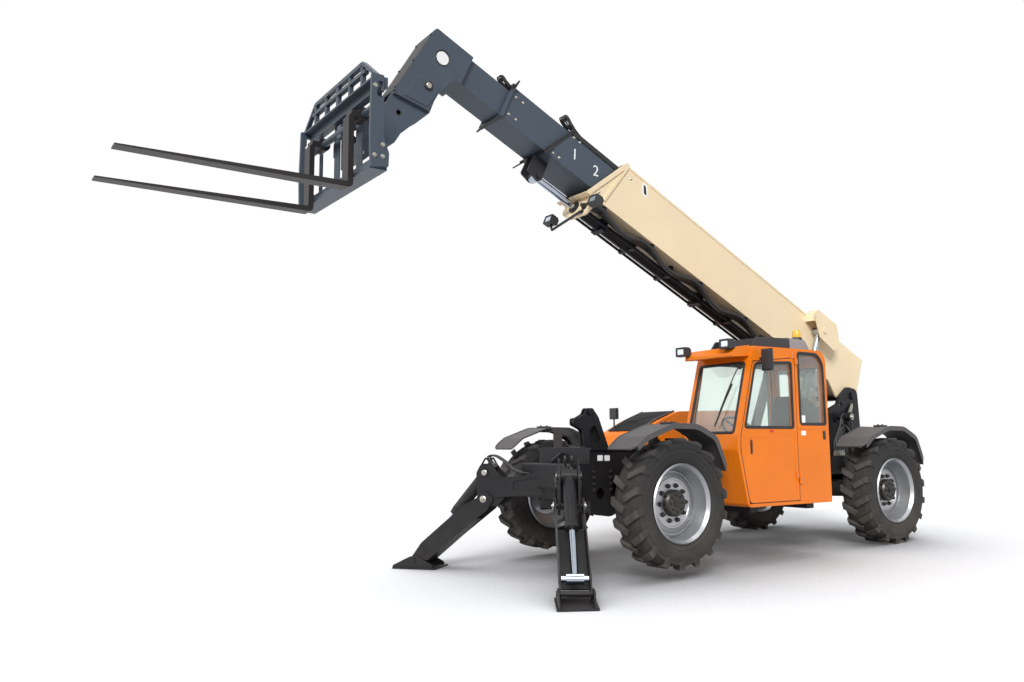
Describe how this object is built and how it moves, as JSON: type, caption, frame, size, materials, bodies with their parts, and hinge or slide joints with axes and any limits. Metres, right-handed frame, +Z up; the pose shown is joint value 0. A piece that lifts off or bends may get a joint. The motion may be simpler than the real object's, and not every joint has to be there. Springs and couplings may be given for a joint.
{
  "type": "telescopic handler",
  "caption": "Telescopic handler on four steered wheels and two front stabilizers, with a four-section boom raised, a fork carriage, an enclosed cab and a side engine hood.",
  "frame": {"origin": "centre of the bounding box on the ground", "axes": "+X forwards along the machine, +Y to the operator's left, +Z up"},
  "size_m": [9.4714, 3.309, 5.3577],
  "materials": {
    "cab_paint": "gloss",
    "boom_paint": "gloss",
    "section_paint": "satin",
    "frame_paint": "satin",
    "fender_plastic": "matte",
    "tyre": "matte",
    "rim_paint": "satin",
    "chrome": "polished",
    "cylinder_paint": "satin",
    "steel": "brushed",
    "glass": "clear",
    "seat_fabric": "woven",
    "trim_plastic": "matte",
    "grey_plastic": "matte",
    "cast": "cast"
  },
  "bodies": {
    "chassis": {"air_box": "grey_plastic", "axle_locks": "frame_paint", "boom_rest": "frame_paint", "cab_glass": "glass", "cab_lamps": "trim_plastic", "cab_shell": "cab_paint", "engine_block": "cast", "engine_hood": "cab_paint", "front_axle": "cast", "hood_mirror": "trim_plastic", "main_frame": "frame_paint", "rear_axle": "cast", "rear_tower": "frame_paint", "roof_guard": "trim_plastic", "seat": "seat_fabric", "stabilizer_beam": "frame_paint", "steering_console": "trim_plastic"},
    "steering_front_left": {"knuckle_front_left": "cast", "fender_front_left": "fender_plastic"},
    "wheel_front_left": {"rim_front_left": "rim_paint", "tyre_front_left": "tyre"},
    "steering_front_right": {"knuckle_front_right": "cast", "fender_front_right": "fender_plastic"},
    "wheel_front_right": {"rim_front_right": "rim_paint", "tyre_front_right": "tyre"},
    "steering_rear_left": {"knuckle_rear_left": "cast", "fender_rear_left": "fender_plastic"},
    "wheel_rear_left": {"rim_rear_left": "rim_paint", "tyre_rear_left": "tyre"},
    "steering_rear_right": {"knuckle_rear_right": "cast", "fender_rear_right": "fender_plastic"},
    "wheel_rear_right": {"rim_rear_right": "rim_paint", "tyre_rear_right": "tyre"},
    "boom_main": {"boom_main": "boom_paint", "extend_barrel": "boom_paint", "boom_lamps": "trim_plastic"},
    "section_2": {"boom_section_2": "section_paint", "extend_rod": "chrome"},
    "section_3": {"boom_section_3": "section_paint"},
    "fly": {"boom_fly": "section_paint", "boom_head": "section_paint"},
    "lift_barrels": {"lift_barrels": "cylinder_paint"},
    "lift_rods": {"lift_rods": "chrome"},
    "carriage": {"coupler": "frame_paint", "fork_carriage": "frame_paint"},
    "tilt_barrel": {"tilt_barrel": "cylinder_paint"},
    "tilt_rod": {"tilt_rod": "chrome"},
    "fork_left": {"fork_left": "steel"},
    "fork_right": {"fork_right": "steel"},
    "door": {"cab_door": "cab_paint", "door_glass": "glass", "door_mirror": "trim_plastic"},
    "stabilizer_leg_left": {"stabilizer_leg_left": "frame_paint"},
    "stabilizer_barrel_left": {"stabilizer_barrel_left": "cylinder_paint"},
    "stabilizer_rod_left": {"stabilizer_rod_left": "chrome"},
    "stabilizer_pad_left": {"stabilizer_pad_left": "frame_paint"},
    "stabilizer_leg_right": {"stabilizer_leg_right": "frame_paint"},
    "stabilizer_barrel_right": {"stabilizer_barrel_right": "cylinder_paint"},
    "stabilizer_rod_right": {"stabilizer_rod_right": "chrome"},
    "stabilizer_pad_right": {"stabilizer_pad_right": "frame_paint"}
  },
  "joints": [
    {"name": "steer_front_left", "type": "hinge", "parent": "chassis", "child": "steering_front_left", "pos_m": [-0.20526, 0.78, 0.71358], "axis": [-0.0246, 0, 0.9997], "range_deg": [-32, 32]},
    {"name": "spin_front_left", "type": "hinge", "parent": "steering_front_left", "child": "wheel_front_left", "pos_m": [-0.20526, 1, 0.71358], "axis": [0, 1, 0], "continuous": true},
    {"name": "steer_front_right", "type": "hinge", "parent": "chassis", "child": "steering_front_right", "pos_m": [-0.20526, -0.78, 0.71358], "axis": [-0.0246, 0, 0.9997], "range_deg": [-32, 32]},
    {"name": "spin_front_right", "type": "hinge", "parent": "steering_front_right", "child": "wheel_front_right", "pos_m": [-0.20526, -1, 0.71358], "axis": [0, 1, 0], "continuous": true},
    {"name": "steer_rear_left", "type": "hinge", "parent": "chassis", "child": "steering_rear_left", "pos_m": [-3.80417, 0.78, 0.625], "axis": [-0.0246, 0, 0.9997], "range_deg": [-32, 32]},
    {"name": "spin_rear_left", "type": "hinge", "parent": "steering_rear_left", "child": "wheel_rear_left", "pos_m": [-3.80417, 1, 0.625], "axis": [0, 1, 0], "continuous": true},
    {"name": "steer_rear_right", "type": "hinge", "parent": "chassis", "child": "steering_rear_right", "pos_m": [-3.80417, -0.78, 0.625], "axis": [-0.0246, 0, 0.9997], "range_deg": [-32, 32]},
    {"name": "spin_rear_right", "type": "hinge", "parent": "steering_rear_right", "child": "wheel_rear_right", "pos_m": [-3.80417, -1, 0.625], "axis": [0, 1, 0], "continuous": true},
    {"name": "boom_lift", "type": "hinge", "parent": "chassis", "child": "boom_main", "pos_m": [-4.35719, 0, 1.79775], "axis": [0, -1, 0], "range_deg": [-28.7, 43.3]},
    {"name": "boom_extend", "type": "slide", "parent": "boom_main", "child": "section_2", "axis": [0.898, 0, 0.4401], "range_m": [-0.45, 2.9]},
    {"name": "section_3_extend", "type": "slide", "parent": "section_2", "child": "section_3", "axis": [0.898, 0, 0.4401], "range_m": [-0.45, 2.9]},
    {"name": "fly_extend", "type": "slide", "parent": "section_3", "child": "fly", "axis": [0.898, 0, 0.4401], "range_m": [-0.45, 2.9]},
    {"name": "lift_barrel_swing", "type": "hinge", "parent": "chassis", "child": "lift_barrels", "pos_m": [-2.91244, 0, 0.97205], "axis": [0, -1, 0], "range_deg": [-8.61, 12.73]},
    {"name": "lift_rod_slide", "type": "slide", "parent": "lift_barrels", "child": "lift_rods", "axis": [-0.4273, 0, 0.9041], "range_m": [-0.4248, 0.6388]},
    {"name": "fork_tilt", "type": "hinge", "parent": "fly", "child": "carriage", "pos_m": [2.51954, 0, 4.12685], "axis": [0, 1, 0], "range_deg": [-40, 70]},
    {"name": "tilt_barrel_swing", "type": "hinge", "parent": "fly", "child": "tilt_barrel", "pos_m": [1.95694, 0, 4.7476], "axis": [0, -1, 0], "range_deg": [-2.43, 3.88]},
    {"name": "tilt_rod_slide", "type": "slide", "parent": "tilt_barrel", "child": "tilt_rod", "axis": [0.8264, 0, -0.5631], "range_m": [-0.126, 0.2176]},
    {"name": "fork_left_slide", "type": "slide", "parent": "carriage", "child": "fork_left", "axis": [0, 1, 0], "range_m": [-0.3, 0.27]},
    {"name": "fork_right_slide", "type": "slide", "parent": "carriage", "child": "fork_right", "axis": [0, -1, 0], "range_m": [-0.3, 0.27]},
    {"name": "door_hinge", "type": "hinge", "parent": "chassis", "child": "door", "pos_m": [-1.99687, 1.184, 1.24466], "axis": [-0.0246, 0, 0.9997], "range_deg": [0, 95]},
    {"name": "stabilizer_left", "type": "hinge", "parent": "chassis", "child": "stabilizer_leg_left", "pos_m": [0.80883, 0.69322, 0.73955], "axis": [0.8189, -0.5736, 0.0202], "range_deg": [0, 104]},
    {"name": "stabilizer_left_barrel_swing", "type": "hinge", "parent": "chassis", "child": "stabilizer_barrel_left", "pos_m": [0.80206, 0.69322, 1.01446], "axis": [0.8189, -0.5736, 0.0202], "range_deg": [-0.5, 106.1]},
    {"name": "stabilizer_left_rod_slide", "type": "slide", "parent": "stabilizer_barrel_left", "child": "stabilizer_rod_left", "axis": [0.3906, 0.5312, -0.7518], "range_m": [-0.4371, 0.004]},
    {"name": "stabilizer_left_pad_tilt", "type": "hinge", "parent": "stabilizer_leg_left", "child": "stabilizer_pad_left", "pos_m": [1.28554, 1.351, 0.09], "axis": [0.8189, -0.5736, 0.0202], "range_deg": [-25, 25]},
    {"name": "stabilizer_right", "type": "hinge", "parent": "chassis", "child": "stabilizer_leg_right", "pos_m": [0.80883, -0.69322, 0.73955], "axis": [-0.8189, -0.5736, -0.0202], "range_deg": [0, 104]},
    {"name": "stabilizer_right_barrel_swing", "type": "hinge", "parent": "chassis", "child": "stabilizer_barrel_right", "pos_m": [0.80206, -0.69322, 1.01446], "axis": [-0.8189, -0.5736, -0.0202], "range_deg": [-0.5, 106.1]},
    {"name": "stabilizer_right_rod_slide", "type": "slide", "parent": "stabilizer_barrel_right", "child": "stabilizer_rod_right", "axis": [0.3906, -0.5312, -0.7518], "range_m": [-0.4371, 0.004]},
    {"name": "stabilizer_right_pad_tilt", "type": "hinge", "parent": "stabilizer_leg_right", "child": "stabilizer_pad_right", "pos_m": [1.28554, -1.351, 0.09], "axis": [-0.8189, -0.5736, -0.0202], "range_deg": [-25, 25]}
  ],
  "couplings": [
    {"joint": "steer_front_right", "follows": "steer_front_left", "ratio": 1},
    {"joint": "steer_rear_right", "follows": "steer_rear_left", "ratio": 1},
    {"joint": "section_3_extend", "follows": "boom_extend", "ratio": 1},
    {"joint": "fly_extend", "follows": "boom_extend", "ratio": 1},
    {"joint": "lift_barrel_swing", "follows": "boom_lift", "ratio": 0.2826},
    {"joint": "lift_rod_slide", "follows": "boom_lift", "m_per_rad": 0.84},
    {"joint": "tilt_barrel_swing", "follows": "fork_tilt", "ratio": 0.0483},
    {"joint": "tilt_rod_slide", "follows": "fork_tilt", "m_per_rad": 0.1748},
    {"joint": "stabilizer_left_barrel_swing", "follows": "stabilizer_left", "ratio": 1.0154},
    {"joint": "stabilizer_left_rod_slide", "follows": "stabilizer_left", "m_per_rad": -0.2386},
    {"joint": "stabilizer_right_barrel_swing", "follows": "stabilizer_right", "ratio": 1.0154},
    {"joint": "stabilizer_right_rod_slide", "follows": "stabilizer_right", "m_per_rad": -0.2386}
  ]
}
